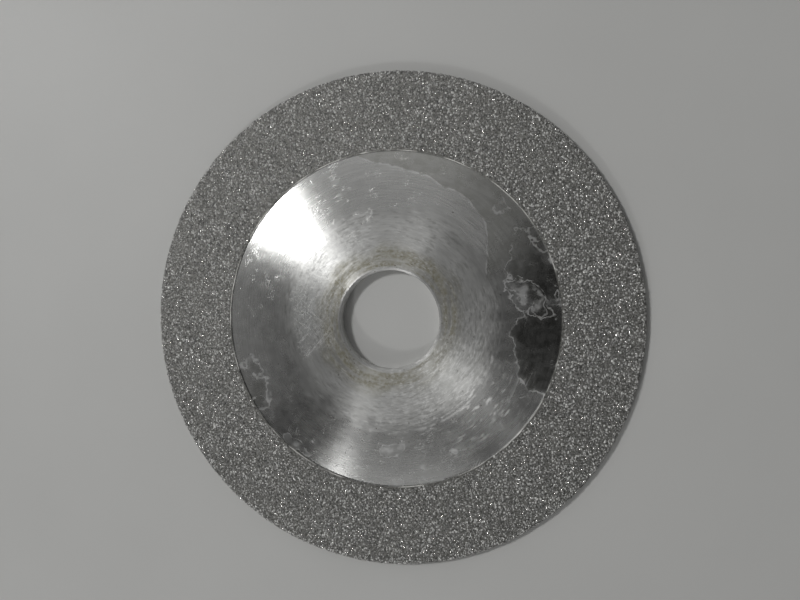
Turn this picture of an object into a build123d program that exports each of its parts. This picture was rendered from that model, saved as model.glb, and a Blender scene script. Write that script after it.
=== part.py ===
from build123d import *
from math import pi, tan
import os

# Electroplated diamond disc, 100 mm across, with a plain 20 mm bore.
# A steel core has a flat back. Its front is a flat hub, a shallow dome that falls
# away from it and a flat, thinner land out to the rim. Nickel is plated over the
# land and down the rim, and holds one layer of diamond crystals.
# Frame: the origin is on the spindle axis, in the plane of the flat back, and +Z
# points out of the front.

# Overall size, in millimetres
disc_radius = 50.0  # over the crystals on the rim
bore_radius = 10.0  # for a 20 mm spindle or flange spigot

# Plated coat
bond_thickness = 0.20  # nickel over the steel
grit_stand_out = 0.16  # crystals above the nickel
band_inner_radius = 34.0
rim_band_width = 0.8  # how far the rim's ring of crystals reaches in from the edge

# Steel core
hub_thickness = 2.7
land_thickness = 1.2
hub_edge_radius = 16.0  # where the flat hub turns into the dome
land_edge_radius = 33.8  # where the dome meets the flat land
rim_chamfer = 0.25  # on both edges of the core's rim
front_bore_chamfer = 0.4
back_bore_chamfer = 0.2

# Derived sizes
coat_thickness = bond_thickness + grit_stand_out
corner_growth = tan(pi / 8)  # how much a 45 degree chamfer grows per unit of coat
bond_chamfer = rim_chamfer + bond_thickness * corner_growth
grit_chamfer = rim_chamfer + coat_thickness * corner_growth
core_radius = disc_radius - coat_thickness
bond_radius = core_radius + bond_thickness
rim_band_inner_radius = disc_radius - rim_band_width
coat_back = rim_chamfer  # the coat ends where the core's back chamfer starts
bond_front = land_thickness + bond_thickness
grit_front = bond_front + grit_stand_out
corner_tolerance = 0.01  # for picking a profile's corners by their radius


def corners_at(profile, radius):
    """The corners of a profile at one distance from the axis, backmost first."""
    nearest = radius - corner_tolerance
    farthest = radius + corner_tolerance
    corners = profile.vertices().filter_by_position(Axis.X, nearest, farthest)
    return corners.sort_by(Axis.Y)


os.makedirs("parts", exist_ok=True)

# Steel core: one blank with a bore, chamfered on both sides
dome_start = (hub_edge_radius, hub_thickness)
dome_end = (land_edge_radius, land_thickness)
outline_points = [
    dome_end,
    (core_radius, land_thickness),
    (core_radius, 0),
    (bore_radius + back_bore_chamfer, 0),
    (bore_radius, back_bore_chamfer),
    (bore_radius, hub_thickness - front_bore_chamfer),
    (bore_radius + front_bore_chamfer, hub_thickness),
    dome_start,
]
with BuildPart() as steel_core:
    with BuildSketch(Plane.XZ) as core_profile:
        with BuildLine():
            TangentArc(dome_start, dome_end, tangent=(1, 0))
            Polyline(outline_points)
        make_face()
        chamfer(corners_at(core_profile, core_radius), length=rim_chamfer)
    revolve(axis=Axis.Z)

# Nickel bond: one deposit that runs over the front band and down the rim
bond_points = [
    (band_inner_radius, land_thickness),
    (band_inner_radius, bond_front),
    (bond_radius, bond_front),
    (bond_radius, coat_back),
    (core_radius, coat_back),
    (core_radius, land_thickness),
]
with BuildPart() as nickel_bond:
    with BuildSketch(Plane.XZ) as bond_profile:
        with BuildLine():
            Polyline(bond_points, close=True)
        make_face()
        chamfer(corners_at(bond_profile, core_radius)[-1], length=rim_chamfer)
        chamfer(corners_at(bond_profile, bond_radius)[-1], length=bond_chamfer)
    revolve(axis=Axis.Z)

# Diamond crystals: each ring is the layer that the crystals' tips fill above the
# nickel, on the front band and round the rim
with BuildPart() as front_diamond_grit:
    with BuildSketch(Plane.XY.offset(bond_front)):
        Circle(rim_band_inner_radius)
        Circle(band_inner_radius, mode=Mode.SUBTRACT)
    extrude(amount=grit_stand_out)

rim_points = [
    (rim_band_inner_radius, bond_front),
    (rim_band_inner_radius, grit_front),
    (disc_radius, grit_front),
    (disc_radius, coat_back),
    (bond_radius, coat_back),
    (bond_radius, bond_front),
]
with BuildPart() as rim_diamond_grit:
    with BuildSketch(Plane.XZ) as rim_profile:
        with BuildLine():
            Polyline(rim_points, close=True)
        make_face()
        chamfer(corners_at(rim_profile, bond_radius)[-1], length=bond_chamfer)
        chamfer(corners_at(rim_profile, disc_radius)[-1], length=grit_chamfer)
    revolve(axis=Axis.Z)

steel_core.part.label = "steel_core"
export_step(steel_core.part, "parts/steel_core.step")
nickel_bond.part.label = "nickel_bond"
export_step(nickel_bond.part, "parts/nickel_bond.step")
front_diamond_grit.part.label = "front_diamond_grit"
export_step(front_diamond_grit.part, "parts/front_diamond_grit.step")
rim_diamond_grit.part.label = "rim_diamond_grit"
export_step(rim_diamond_grit.part, "parts/rim_diamond_grit.step")
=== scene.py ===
"""Electroplated diamond disc: a turned steel core, its nickel bond and one layer of diamond crystals."""
import math

import bmesh
import bpy
import numpy as np
from mathutils import Matrix, Vector


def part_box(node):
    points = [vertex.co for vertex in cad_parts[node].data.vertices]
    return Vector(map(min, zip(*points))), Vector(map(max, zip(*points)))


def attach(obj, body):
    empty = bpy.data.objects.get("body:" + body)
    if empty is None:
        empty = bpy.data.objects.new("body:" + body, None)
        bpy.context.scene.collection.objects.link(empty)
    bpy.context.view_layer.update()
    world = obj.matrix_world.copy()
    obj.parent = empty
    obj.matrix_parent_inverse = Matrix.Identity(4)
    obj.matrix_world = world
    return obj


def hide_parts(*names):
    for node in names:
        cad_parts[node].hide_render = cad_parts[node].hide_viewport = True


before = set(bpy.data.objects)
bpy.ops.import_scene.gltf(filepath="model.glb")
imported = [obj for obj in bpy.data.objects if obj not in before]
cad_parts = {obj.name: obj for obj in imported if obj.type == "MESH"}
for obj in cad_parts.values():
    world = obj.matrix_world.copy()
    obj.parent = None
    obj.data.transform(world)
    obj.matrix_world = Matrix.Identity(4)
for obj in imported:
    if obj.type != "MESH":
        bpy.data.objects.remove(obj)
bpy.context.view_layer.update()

MM = 0.001
bond_low, bond_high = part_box("nickel_bond")
grit_low, grit_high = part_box("front_diamond_grit")

BAND_INNER = 34.0 * MM  # where the land's nickel starts
EDGE_FLAT = grit_high.x + 0.1 * MM  # a little past the front ring, over the nickel
BOND_CHAMFER = 0.333 * MM  # on the front edge of the nickel
BOND_RADIUS = bond_high.x
STAND_OUT = grit_high.z - grit_low.z
GRIT_SPACING = 0.44 * MM
GAP_SHARE = 0.03  # of the band's places have no crystal
BAND_SIZES = (0.42, 0.72)  # smallest and largest crystal, in millimetres
RIM_SIZES = (0.40, 0.62)
RIM_MARGIN = 0.12 * MM  # the rim's crystals keep this far above the nickel's lower edge
BAND_RINGS = 3  # the band's crystals are split into rings, so that no mesh is too large


# ---------------------------------------------------------------- crystals
def crystal_shapes(rng, count):
    """Convex crystals about 1 across, each a pair of vertices and triangles."""
    corners = [(a, b, 0) for a in (-1, 1) for b in (-1, 1)]
    corners += [(a, 0, b) for a in (-1, 1) for b in (-1, 1)]
    corners += [(0, a, b) for a in (-1, 1) for b in (-1, 1)]
    shapes = []
    for index in range(count):
        if index % 5 < 2:  # a blocky cubo-octahedron
            points = np.array(corners) * 0.42 + rng.normal(0, 0.05, (12, 3))
        else:  # a splinter
            points = rng.normal(0, 1, (int(rng.integers(7, 10)), 3))
            points *= 0.56 / np.linalg.norm(points, axis=1)[:, None]
        bm = bmesh.new()
        for point in points:
            bm.verts.new(point * np.array((1.0, 0.92, 0.84)))
        hull = bmesh.ops.convex_hull(bm, input=bm.verts)
        loose = [part for part in hull["geom_interior"] if isinstance(part, bmesh.types.BMVert)]
        bmesh.ops.delete(bm, geom=loose, context="VERTS")
        bmesh.ops.triangulate(bm, faces=bm.faces)
        bmesh.ops.recalc_face_normals(bm, faces=bm.faces)
        bm.verts.index_update()
        verts = np.array([vert.co for vert in bm.verts])
        faces = np.array([[vert.index for vert in face.verts] for face in bm.faces])
        bm.free()
        shapes.append((verts, faces))
    return shapes


def random_turns(rng, count):
    """Rotation matrices spread evenly over every direction."""
    q = rng.normal(0, 1, (count, 4))
    q /= np.linalg.norm(q, axis=1)[:, None]
    w, x, y, z = q.T
    rows = [
        np.stack([1 - 2 * (y * y + z * z), 2 * (x * y - z * w), 2 * (x * z + y * w)], 1),
        np.stack([2 * (x * y + z * w), 1 - 2 * (x * x + z * z), 2 * (y * z - x * w)], 1),
        np.stack([2 * (x * z - y * w), 2 * (y * z + x * w), 1 - 2 * (x * x + y * y)], 1),
    ]
    return np.stack(rows, 1)


def lay_crystals(name, node, places, normals, rise, sizes, rng):
    """One mesh of separate crystals, each sunk so that its tip stands its rise above its place."""
    shapes = crystal_shapes(rng, 40)
    pick = rng.integers(0, len(shapes), len(places))
    all_verts, all_faces, tones, start = [], [], [], 0
    for index, (verts, faces) in enumerate(shapes):
        here = np.nonzero(pick == index)[0]
        if len(here) == 0:
            continue
        size = rng.uniform(*sizes, len(here)) * MM
        turned = np.einsum("nij,vj->nvi", random_turns(rng, len(here)), verts)
        turned = turned * size[:, None, None]
        reach = np.einsum("nvi,ni->nv", turned, normals[here]).max(axis=1)
        centre = places[here] + normals[here] * (rise[here] - reach)[:, None]
        placed = turned + centre[:, None, :]
        count, corners = placed.shape[:2]
        all_verts.append(placed.reshape(-1, 3))
        offsets = start + np.arange(count) * corners
        all_faces.append((faces[None] + offsets[:, None, None]).reshape(-1, 3))
        tones.append(np.repeat(rng.uniform(0, 1, count) ** 1.5, corners))
        start += count * corners
    verts = np.concatenate(all_verts)
    faces = np.concatenate(all_faces).astype(np.int32)
    mesh = bpy.data.meshes.new(name)
    mesh.vertices.add(len(verts))
    mesh.vertices.foreach_set("co", verts.astype(np.float32).ravel())
    mesh.loops.add(faces.size)
    mesh.loops.foreach_set("vertex_index", faces.ravel())
    mesh.polygons.add(len(faces))
    mesh.polygons.foreach_set("loop_start", np.arange(0, faces.size, 3, dtype=np.int32))
    mesh.update(calc_edges=True)
    tone = mesh.attributes.new("tone", "FLOAT", "POINT")
    tone.data.foreach_set("value", np.concatenate(tones).astype(np.float32))
    mesh.validate()
    piece = bpy.data.objects.new(name, mesh)
    bpy.context.scene.collection.objects.link(piece)
    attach(piece, "root")
    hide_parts(node)
    print(name, len(places), "crystals", len(faces), "triangles")
    return piece


def tip_heights(rng, count):
    """How far the crystals' tips stand out of the nickel."""
    return rng.uniform(0.45, 1.0, count) * STAND_OUT * 0.97


def band_places(rng):
    """Places over the front band, close packed and then jostled, with a slightly ragged inner edge."""
    steps = int(EDGE_FLAT / GRIT_SPACING) + 2
    rows = int(EDGE_FLAT / (GRIT_SPACING * 0.866)) + 2
    i, j = np.meshgrid(np.arange(-steps, steps + 1), np.arange(-rows, rows + 1))
    x = (i + 0.5 * (j % 2)) * GRIT_SPACING
    y = j * GRIT_SPACING * 0.866
    spots = np.stack([x.ravel(), y.ravel()], 1)
    spots += rng.normal(0, 0.22 * GRIT_SPACING, spots.shape)
    radius = np.hypot(spots[:, 0], spots[:, 1])
    edge = BAND_INNER + 0.33 * MM + rng.normal(0, 0.07 * MM, len(radius))
    kept = rng.uniform(0, 1, len(radius)) > GAP_SHARE
    return spots[(radius > edge) & (radius < EDGE_FLAT) & kept]


def make_band_grit(rng):
    """The front band's crystals, in rings of equal area."""
    spots = band_places(rng)
    radius = np.hypot(spots[:, 0], spots[:, 1])
    share = (radius**2 - BAND_INNER**2) / (EDGE_FLAT**2 - BAND_INNER**2)
    pieces = []
    for ring in range(BAND_RINGS):
        spot = spots[(share * BAND_RINGS).astype(int) == ring]
        places = np.column_stack([spot, np.full(len(spot), grit_low.z)])
        normals = np.tile((0.0, 0.0, 1.0), (len(spot), 1))
        rise = tip_heights(rng, len(spot))
        name = f"band_crystals_{ring + 1}"
        piece = lay_crystals(name, "front_diamond_grit", places, normals, rise, BAND_SIZES, rng)
        pieces.append(piece)
    return pieces


def make_rim_grit(rng):
    """Crystals over the rim: along the front flat, over the chamfer and down the wall."""
    lowest = bond_low.z + RIM_MARGIN
    path = np.array([  # radius, height and lean of the nickel's surface
        (EDGE_FLAT, bond_high.z, 0.0),
        (BOND_RADIUS - BOND_CHAMFER, bond_high.z, 0.0),
        (BOND_RADIUS - BOND_CHAMFER / 2, bond_high.z - BOND_CHAMFER / 2, 45.0),
        (BOND_RADIUS, bond_high.z - BOND_CHAMFER, 90.0),
        (BOND_RADIUS, lowest, 90.0),
    ])
    run = np.concatenate([[0], np.cumsum(np.hypot(*np.diff(path[:, :2], axis=0).T))])
    rows = int(round(run[-1] / (GRIT_SPACING * 0.87)))
    count = int(2 * math.pi * BOND_RADIUS / GRIT_SPACING)
    places, normals = [], []
    for row in range(rows + 1):
        step = np.arange(count) + 0.5 * (row % 2) + rng.normal(0, 0.2, count)
        around = step * 2 * math.pi / count
        along = run[-1] * row / rows + rng.normal(0, 0.18 * GRIT_SPACING, count)
        along = np.clip(along, 0, run[-1])
        radius = np.interp(along, run, path[:, 0])
        height = np.interp(along, run, path[:, 1])
        lean = np.radians(np.interp(along, run, path[:, 2]))
        places.append(np.column_stack([radius * np.cos(around), radius * np.sin(around), height]))
        out = np.sin(lean)
        normals.append(np.column_stack([out * np.cos(around), out * np.sin(around), np.cos(lean)]))
    places, normals = np.concatenate(places), np.concatenate(normals)
    rise = tip_heights(rng, len(places))
    return [lay_crystals("rim_crystals", "rim_diamond_grit", places, normals, rise, RIM_SIZES, rng)]


# ---------------------------------------------------------------- shader graph
class Graph:
    """One material's nodes. Wherever a value is asked for, a number or a node's output will do."""

    def __init__(self, name):
        self.material = bpy.data.materials.new(name)
        self.material.use_nodes = True
        self.tree = self.material.node_tree
        self.shader = self.tree.nodes["Principled BSDF"]

    def add(self, kind, **settings):
        node = self.tree.nodes.new("ShaderNode" + kind)
        for key, value in settings.items():
            setattr(node, key, value)
        return node

    def feed(self, socket, value):
        if isinstance(value, bpy.types.NodeSocket):
            self.tree.links.new(value, socket)
        else:
            socket.default_value = value

    def set(self, name, value):
        self.feed(self.shader.inputs[name], value)

    def math(self, operation, first, second=0.0):
        node = self.add("Math", operation=operation)
        self.feed(node.inputs[0], first)
        self.feed(node.inputs[1], second)
        return node.outputs[0]

    def fade(self, value, start, end, low=0.0, high=1.0):
        """Smoothly from low where value is at start to high where it is at end."""
        node = self.add("MapRange", interpolation_type="SMOOTHSTEP")
        for socket, number in zip(node.inputs[:5], (value, start, end, low, high)):
            self.feed(socket, number)
        return node.outputs[0]

    def product(self, *values):
        result = values[0]
        for value in values[1:]:
            result = self.math("MULTIPLY", result, value)
        return result

    def largest(self, values):
        result = values[0]
        for value in values[1:]:
            result = self.math("MAXIMUM", result, value)
        return result

    def window(self, value, start, end, soft):
        """1 between start and end, with soft ends."""
        rising = self.fade(value, start - soft, start + soft)
        falling = self.fade(value, end - soft, end + soft, 1.0, 0.0)
        return self.product(rising, falling)

    def vector(self, x, y, z):
        node = self.add("CombineXYZ")
        for socket, value in zip(node.inputs, (x, y, z)):
            self.feed(socket, value)
        return node.outputs[0]

    def noise(self, vector, scale, detail=2.0):
        node = self.add("TexNoise")
        self.feed(node.inputs["Vector"], vector)
        node.inputs["Scale"].default_value = scale
        node.inputs["Detail"].default_value = detail
        return node.outputs["Fac"]

    def cells(self, vector, scale):
        """Distance to the nearest of a scatter of points."""
        node = self.add("TexVoronoi")
        self.feed(node.inputs["Vector"], vector)
        node.inputs["Scale"].default_value = scale
        return node.outputs["Distance"]

    def blend(self, factor, first, second):
        node = self.add("Mix", data_type="RGBA")
        self.feed(node.inputs["Factor"], factor)
        for socket, color in ((node.inputs[6], first), (node.inputs[7], second)):
            self.feed(socket, color if isinstance(color, bpy.types.NodeSocket) else (*color, 1.0))
        return node.outputs[2]

    def curve(self, value, points):
        """A curve through points, over values and results from 0 to 1."""
        node = self.add("FloatCurve")
        line = node.mapping.curves[0]
        line.points[0].location = points[0]
        line.points[1].location = points[-1]
        for point in points[1:-1]:
            line.points.new(*point)
        node.mapping.update()
        self.feed(node.inputs["Value"], value)
        return node.outputs[0]

    def bump(self, height, depth, normal=None):
        """Relief with the given depth in metres where height runs from 0 to 1."""
        node = self.add("Bump")
        node.inputs["Strength"].default_value = 1.0
        node.inputs["Distance"].default_value = depth
        self.feed(node.inputs["Height"], height)
        if normal is not None:
            self.feed(node.inputs["Normal"], normal)
        return node.outputs["Normal"]

    def place(self):
        """Place on the disc in millimetres: the whole vector, x, y, z, radius and azimuth in degrees."""
        scale = self.add("VectorMath", operation="SCALE")
        scale.inputs["Scale"].default_value = 1 / MM
        self.feed(scale.inputs[0], self.add("TexCoord").outputs["Object"])
        split = self.add("SeparateXYZ")
        self.feed(split.inputs[0], scale.outputs[0])
        x, y, z = split.outputs
        squares = self.math("ADD", self.product(x, x), self.product(y, y))
        radius = self.math("SQRT", squares)
        turn = self.math("ARCTAN2", y, x)
        degrees = self.product(turn, 180 / math.pi)
        azimuth = self.math("MODULO", self.math("ADD", degrees, 360.0), 360.0)
        return scale.outputs[0], x, y, z, radius, azimuth


def dress(piece, graph):
    piece.data.materials.clear()
    piece.data.materials.append(graph.material)


def dress_node(node, graph):
    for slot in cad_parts[node].material_slots:
        slot.material = graph.material


# ---------------------------------------------------------------- materials
def crystal_material():
    """Grey diamond: every crystal has a tone of its own, and its faces are slightly etched."""
    g = Graph("diamond_crystals")
    place, x, y, z, radius, azimuth = g.place()
    tone = g.add("Attribute", attribute_name="tone").outputs["Fac"]
    dusty = g.noise(place, 0.18, 3.0)
    color = g.blend(tone, (0.075, 0.075, 0.070), (0.78, 0.775, 0.75))
    color = g.blend(g.fade(dusty, 0.40, 0.75, 0.0, 0.35), color, (0.24, 0.237, 0.218))
    g.set("Base Color", color)
    g.set("Metallic", g.fade(tone, 0.90, 0.94, 0.3, 0.9))
    g.set("Roughness", g.fade(tone, 0.80, 0.92, 0.46, 0.03))
    g.set("IOR", 2.3)
    g.set("Normal", g.bump(g.noise(place, 9.0), 0.006 * MM))
    return g


def nickel_material():
    """Plated nickel: grey, nodular and grained, with painted shade in dark patches for the gaps between
    crystals and a painted highlight along its inner edge.
    """
    g = Graph("plated_nickel")
    place, x, y, z, radius, azimuth = g.place()
    nodules = g.cells(place, 5.5)
    stain = g.noise(place, 0.35, 4.0)
    # painted highlight: a thin near-white line along the nickel's inner edge, where the edge catches the
    # light
    edge = g.product(g.window(radius, 33.9, 34.12, 0.06), g.fade(g.noise(place, 0.22), 0.42, 0.6))
    color = g.blend(stain, (0.085, 0.085, 0.078), (0.17, 0.168, 0.155))
    grain = g.fade(g.noise(place, 3.4, 2.0), 0.40, 0.62)
    color = g.blend(g.product(grain, 0.5), color, (0.30, 0.297, 0.278))
    # painted shade: dark patches in the nickel stand in for the shade in the gaps between the crystals
    painted_gap_shade = g.fade(g.noise(place, 2.1, 2.0), 0.36, 0.50, 1.0, 0.0)
    color = g.blend(g.product(painted_gap_shade, 0.7), color, (0.035, 0.035, 0.032))
    g.set("Base Color", g.blend(edge, color, (0.72, 0.71, 0.68)))
    g.set("Metallic", 0.45)
    g.set("Roughness", g.fade(nodules, 0.1, 0.6, 0.34, 0.55))
    g.set("Normal", g.bump(nodules, 0.04 * MM))
    return g


# Marks on the haze that covers the steel. Azimuth in degrees and radius of the middle, then half the
# length round the disc and half the width, in millimetres.
CLEAN_PATCHES = (
    (18, 30.8, 7.0, 4.6),
    (350, 30.6, 9.5, 5.2),
    (205, 31.8, 5.6, 2.6),
)
RESIDUE = (
    (11, 28.3, 3.2, 2.8),
    (213, 32.0, 1.1, 1.0),
    (236, 32.9, 2.7, 0.6),
    (273, 26.2, 1.9, 0.8),
    (276, 33.1, 3.4, 0.5),
    (293, 28.6, 2.2, 0.8),
    (47, 31.2, 0.8, 0.6),
)
# The edge of the clean outer strip at the upper right: azimuth and radius
FILM_EDGE = ((18, 20.0), (33, 23.0), (50, 27.6), (75, 29.2), (92, 31.4), (104, 34.2))


def marks(g, x, y, radius, azimuth, wobble):
    """Where the steel is clean, where residue lies on it, and the thin pale edges of both."""
    points = [(at / 120, (r - 18) / 20) for at, r in FILM_EDGE]
    edge = g.math("ADD", g.product(g.curve(g.product(azimuth, 1 / 120), points), 20.0), 18.0)
    past = g.math("ADD", g.math("SUBTRACT", radius, edge), g.product(wobble, 2.4))
    sector = g.window(azimuth, 24.0, 104.0, 5.0)
    clean = [g.product(g.fade(past, -0.15, 0.15), sector)]
    residue = []
    lines = [g.product(g.fade(g.math("ABSOLUTE", past), 0.02, 0.28, 1.0, 0.0), sector)]
    for group, patches in ((clean, CLEAN_PATCHES), (residue, RESIDUE)):
        for at, middle, half_length, half_width in patches:
            cosine, sine = math.cos(math.radians(at)), math.sin(math.radians(at))
            outward = g.math("ADD", g.product(x, cosine), g.product(y, sine))
            along = g.math("SUBTRACT", g.product(y, cosine), g.product(x, sine))
            u = g.product(g.math("SUBTRACT", outward, middle), 1 / half_width)
            v = g.product(along, 1 / half_length)
            reach = g.math("SQRT", g.math("ADD", g.product(u, u), g.product(v, v)))
            away = g.product(g.math("SUBTRACT", reach, 1.0), half_width)
            away = g.math("ADD", away, g.product(wobble, 10.0))
            group.append(g.fade(away, -1.6, 0.3, 1.0, 0.0))
            lines.append(g.fade(g.math("ABSOLUTE", away), 0.0, 0.26, 1.0, 0.0))
    return g.largest(clean), g.largest(residue), g.largest(lines)


def scratches(g, x, y, angle, seed, density):
    """Thin straight scratches that run at one angle, broken into short lengths."""
    cosine, sine = math.cos(math.radians(angle)), math.sin(math.radians(angle))
    along = g.math("ADD", g.product(x, cosine), g.product(y, sine))
    across = g.math("SUBTRACT", g.product(y, cosine), g.product(x, sine))
    field = g.noise(g.vector(g.product(along, 0.10), g.product(across, 3.2), seed), 1.0, 1.0)
    line = g.fade(g.math("ABSOLUTE", g.math("SUBTRACT", field, 0.5)), 0.0, 0.012, 1.0, 0.0)
    there = g.noise(g.vector(g.product(along, 0.3), g.product(across, 0.3), seed + 5), 1.0, 1.0)
    return g.product(line, g.fade(there, 0.62 - density, 0.70 - density))


def steel_material():
    """Turned steel under a grey haze, with a rubbed hub, dirt round the bore, marks and scratches,
    painted highlight arcs at the lower right and painted shade on the hub's lower right.
    """
    g = Graph("turned_steel")
    place, x, y, z, radius, azimuth = g.place()
    cosine, sine = g.math("DIVIDE", x, radius), g.math("DIVIDE", y, radius)
    front = g.fade(z, 1.0, 1.15)

    def rings(spacing, drift):
        """Noise in rings about the axis, a spacing apart, that changes slowly with azimuth."""
        across = g.product(radius, 1 / spacing)
        return g.noise(g.vector(g.product(cosine, drift), g.product(sine, drift), across), 1.0)

    fine, medium, broad = rings(0.12, 3.0), rings(0.40, 7.0), rings(1.6, 2.0)
    cloud = g.noise(place, 0.16, 4.0)
    blotch = g.noise(place, 0.55, 5.0)
    grain = g.noise(place, 1.6, 4.0)
    wobble = g.math("SUBTRACT", g.noise(place, 0.21, 6.0), 0.5)
    clean, residue, outline = marks(g, x, y, radius, azimuth, wobble)
    outline = g.product(outline, front, g.fade(blotch, 0.36, 0.56, 0.25, 1.0))
    clean = g.product(clean, front, g.fade(blotch, 0.30, 0.60, 0.95, 0.55))
    residue = g.product(residue, front, g.fade(blotch, 0.40, 0.62, 0.2, 1.0))
    haze = g.product(g.math("SUBTRACT", 1.0, clean), g.fade(blotch, 0.25, 0.75, 0.55, 1.0))

    # rub marks from the flange, on the hub and as one longer arc outside it
    hub = g.fade(g.math("ADD", radius, g.product(wobble, 6.0)), 17.5, 25.0, 1.0, 0.0)
    rub_and_painted_glint = g.product(g.fade(rings(0.30, 14.0), 0.50, 0.72), g.fade(cloud, 0.35, 0.6), hub)
    arc = g.product(g.window(radius, 22.5, 22.8, 0.2), g.window(azimuth, 252.0, 328.0, 10.0))
    rub_and_painted_glint = g.largest([rub_and_painted_glint, g.product(arc, g.fade(blotch, 0.4, 0.6), 0.5)])

    # short arcs of wear, dark and bright, on the hub, and bright arcs at the lower right that are
    # painted highlight
    arcs = rings(0.45, 11.0)
    hub_arcs = g.product(g.window(radius, 13.0, 22.5, 1.0), g.fade(cloud, 0.30, 0.55))
    glint_sector = g.product(g.window(azimuth, 284.0, 338.0, 10.0), g.window(radius, 16.0, 32.0, 2.0))
    # painted highlight: bright arcs only in the lower right sector, where the lamps' reflection fan
    # falls
    painted_glint = g.product(g.fade(arcs, 0.54, 0.68), g.fade(blotch, 0.40, 0.60), glint_sector, 0.7)
    rub_and_painted_glint = g.largest([rub_and_painted_glint, g.product(g.fade(arcs, 0.54, 0.70), hub_arcs, 0.6), painted_glint])
    groove = g.product(g.fade(arcs, 0.46, 0.34), hub_arcs)

    # scratches over everything, and a bright crossed patch beside the bore
    angles = ((18, 1), (71, 9), (128, 17))
    over_all = g.largest([scratches(g, x, y, angle, seed, 0.03) for angle, seed in angles])
    beside_bore = g.product(g.window(azimuth, 160.0, 206.0, 8.0), g.window(radius, 11.5, 20.0, 1.5))
    crossed = g.largest([scratches(g, x, y, angle, seed, 0.50) for angle, seed in ((52, 31), (140, 43))])
    scratch = g.largest([g.product(over_all, 0.4), g.product(crossed, beside_bore)])

    # dirt round the bore with brown specks in it, and pits
    dirt = g.fade(g.math("ADD", radius, g.product(wobble, 5.0)), 12.9, 16.4, 1.0, 0.0)
    dirt = g.product(dirt, front, g.fade(radius, 10.45, 10.9))
    dirt = g.product(dirt, g.fade(rings(0.9, 2.0), 0.30, 0.60, 0.35, 1.0))
    specks = g.product(g.fade(g.cells(place, 1.2), 0.10, 0.24, 1.0, 0.0), g.fade(blotch, 0.50, 0.60))
    specks = g.product(specks, g.fade(radius, 11.5, 16.0, 1.0, 0.04), front)
    pits = g.product(g.fade(g.cells(place, 0.55), 0.05, 0.10, 1.0, 0.0), g.fade(cloud, 0.5, 0.56))

    # painted shade: the hub's lower right is darkened and dulled, so that the lamps' reflection there is
    # dimmer
    hub_shade_sector = g.window(azimuth, 292.0, 345.0, 18.0)
    painted_hub_shade = g.product(hub_shade_sector, hub, g.fade(blotch, 0.3, 0.6, 0.6, 0.9))

    metal = g.blend(broad, (0.50, 0.50, 0.485), (0.66, 0.66, 0.645))
    metal = g.blend(g.fade(medium, 0.3, 0.7, 0.0, 0.5), metal, (0.44, 0.44, 0.43))
    metal = g.blend(g.product(clean, 0.7), metal, (0.37, 0.37, 0.34))
    metal = g.blend(g.product(dirt, g.fade(grain, 0.3, 0.65, 0.45, 0.95)), metal, (0.275, 0.26, 0.195))
    metal = g.blend(g.product(specks, 0.75), metal, (0.10, 0.072, 0.045))
    metal = g.blend(g.product(pits, 0.7), metal, (0.09, 0.08, 0.065))
    metal = g.blend(g.product(g.largest([residue, outline]), 0.5), metal, (0.66, 0.66, 0.66))
    metal = g.blend(g.product(groove, 0.4), metal, (0.26, 0.26, 0.245))
    # painted shade: darker colour on the hub's lower right
    metal = g.blend(g.product(painted_hub_shade, 0.6), metal, (0.30, 0.30, 0.285))
    # rub marks and scratches, together with the painted highlight arcs at the lower right
    metal = g.blend(g.product(g.largest([rub_and_painted_glint, scratch]), 0.5), metal, (0.80, 0.80, 0.79))
    g.set("Base Color", metal)

    film = g.largest([g.product(residue, 0.6), g.product(outline, 0.9)])
    dull = g.largest([g.product(haze, 0.36), g.product(hub, 0.5), painted_hub_shade, film, dirt])
    g.set("Metallic", g.fade(dull, 0.0, 1.0, 1.0, 0.55))
    cloudy = g.product(g.math("SUBTRACT", cloud, 0.5), 0.12)
    rough = g.math("ADD", g.fade(hub, 0.0, 1.0, 0.27, 0.40), cloudy)
    rough = g.math("ADD", rough, g.product(g.math("SUBTRACT", medium, 0.5), 0.12))
    rough = g.math("SUBTRACT", rough, g.product(clean, 0.05))
    uneven = g.largest([residue, outline, dirt, specks, rub_and_painted_glint, scratch])
    rough = g.math("ADD", rough, g.product(uneven, 0.18))
    g.set("Roughness", rough)
    g.set("Anisotropic", 0.9)
    g.set("Anisotropic Rotation", 0.25)
    tangent = g.add("Tangent", direction_type="RADIAL", axis="Z")
    g.set("Tangent", tangent.outputs["Tangent"])

    smooth = g.fade(clean, 0.0, 1.0, 1.0, 0.2)
    turned = g.product(g.math("ADD", g.product(fine, 0.35), g.product(medium, 0.65)), smooth)
    relief = g.bump(turned, 0.006 * MM)
    relief = g.bump(g.largest([scratch, pits]), -0.008 * MM, relief)
    crust = g.largest([dirt, g.product(hub, 0.5), g.product(haze, 0.15)])
    relief = g.bump(g.product(blotch, crust), 0.06 * MM, relief)
    g.set("Normal", relief)
    return g


def table_material():
    """A matt pale laminate with a faint mottle and orange-peel surface."""
    g = Graph("pale_table")
    place, x, y, z, radius, azimuth = g.place()
    mottle = g.noise(place, 0.03, 3.0)
    peel = g.noise(place, 1.4, 2.0)
    g.set("Base Color", g.blend(mottle, (0.500, 0.500, 0.486), (0.545, 0.545, 0.530)))
    g.set("Roughness", g.fade(peel, 0.3, 0.7, 0.50, 0.58))
    g.set("Normal", g.bump(peel, 0.004 * MM))
    return g


# ---------------------------------------------------------------- stage
TABLE_RADIUS = 0.5
CAMERA_PLACE = Vector((30.62, 9.13, 164.16)) * MM
CAMERA_AIM = Vector((1.65, 3.91, 0.0)) * MM
CAMERA_LENS = 36.97
WALL_HEIGHTS = (0.30, 0.52)  # sines of the elevations between which the walls fade into the ceiling
WALL_STRENGTH, CEILING_STRENGTH = 0.30, 0.015


def make_table():
    bpy.ops.mesh.primitive_circle_add(vertices=192, radius=TABLE_RADIUS, fill_type="NGON")
    table = bpy.context.object
    table.name = "table"
    dress(table, table_material())


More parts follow.
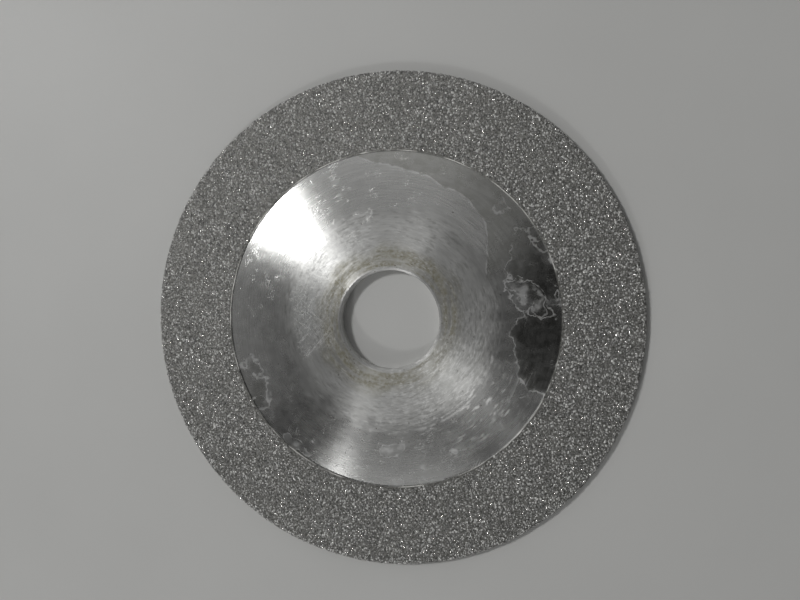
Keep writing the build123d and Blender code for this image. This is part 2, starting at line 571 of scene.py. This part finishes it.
def make_camera():
    data = bpy.data.cameras.new("camera")
    camera = bpy.data.objects.new("camera", data)
    bpy.context.scene.collection.objects.link(camera)
    forward = (CAMERA_AIM - CAMERA_PLACE).normalized()
    right = forward.cross(Vector((0, 1, 0))).normalized()
    turn = Matrix((right, right.cross(forward), -forward)).transposed()
    camera.matrix_world = Matrix.Translation(CAMERA_PLACE) @ turn.to_4x4()
    data.sensor_width = 36
    data.lens = CAMERA_LENS
    data.clip_start = 0.005
    bpy.context.scene.camera = camera


# Soft lamps: name, azimuth and angle from straight up in degrees, distance and diameter in metres, watts
LAMPS = (
    ("key", 153, 39, 1.2, 0.20, 5.1),
    ("top", 100, 58, 1.2, 1.30, 1.6),
    ("bottom", 262, 60, 1.2, 1.10, 2.3),
    ("lower_left", 241, 60, 1.2, 0.10, 1.9),
    ("left", 190, 52, 1.2, 0.80, 0.35),
    ("overhead", 112, 26, 0.5, 0.50, 0.17),
)


def make_lamp(name, azimuth, zenith, distance, size, watts):
    data = bpy.data.lights.new(name, "AREA")
    data.shape = "DISK"
    data.size = size
    data.energy = watts
    lamp = bpy.data.objects.new(name, data)
    bpy.context.scene.collection.objects.link(lamp)
    around, lean = math.radians(azimuth), math.radians(zenith)
    out = math.sin(lean)
    toward = Vector((out * math.cos(around), out * math.sin(around), math.cos(lean)))
    lamp.location = toward * distance
    lamp.rotation_euler = (-toward).to_track_quat("-Z", "Y").to_euler()


def light_up():
    scene = bpy.context.scene
    world = bpy.data.worlds.new("studio")
    scene.world = world
    world.use_nodes = True
    nodes, links = world.node_tree.nodes, world.node_tree.links
    split = nodes.new("ShaderNodeSeparateXYZ")
    links.new(nodes.new("ShaderNodeTexCoord").outputs["Generated"], split.inputs["Vector"])
    walls = nodes.new("ShaderNodeMapRange")  # pale walls all round, and a dim ceiling
    limits = (*WALL_HEIGHTS, WALL_STRENGTH, CEILING_STRENGTH)
    for name, value in zip(("From Min", "From Max", "To Min", "To Max"), limits):
        walls.inputs[name].default_value = value
    links.new(split.outputs["Z"], walls.inputs["Value"])
    links.new(walls.outputs["Result"], nodes["Background"].inputs["Strength"])
    nodes["Background"].inputs["Color"].default_value = (1, 1, 1, 1)
    scene.view_settings.view_transform = "Standard"
    for lamp in LAMPS:
        make_lamp(*lamp)


rng = np.random.default_rng(41)
crystals = crystal_material()
for piece in make_band_grit(rng) + make_rim_grit(rng):
    dress(piece, crystals)
dress_node("nickel_bond", nickel_material())
dress_node("steel_core", steel_material())
make_table()
make_camera()
light_up()
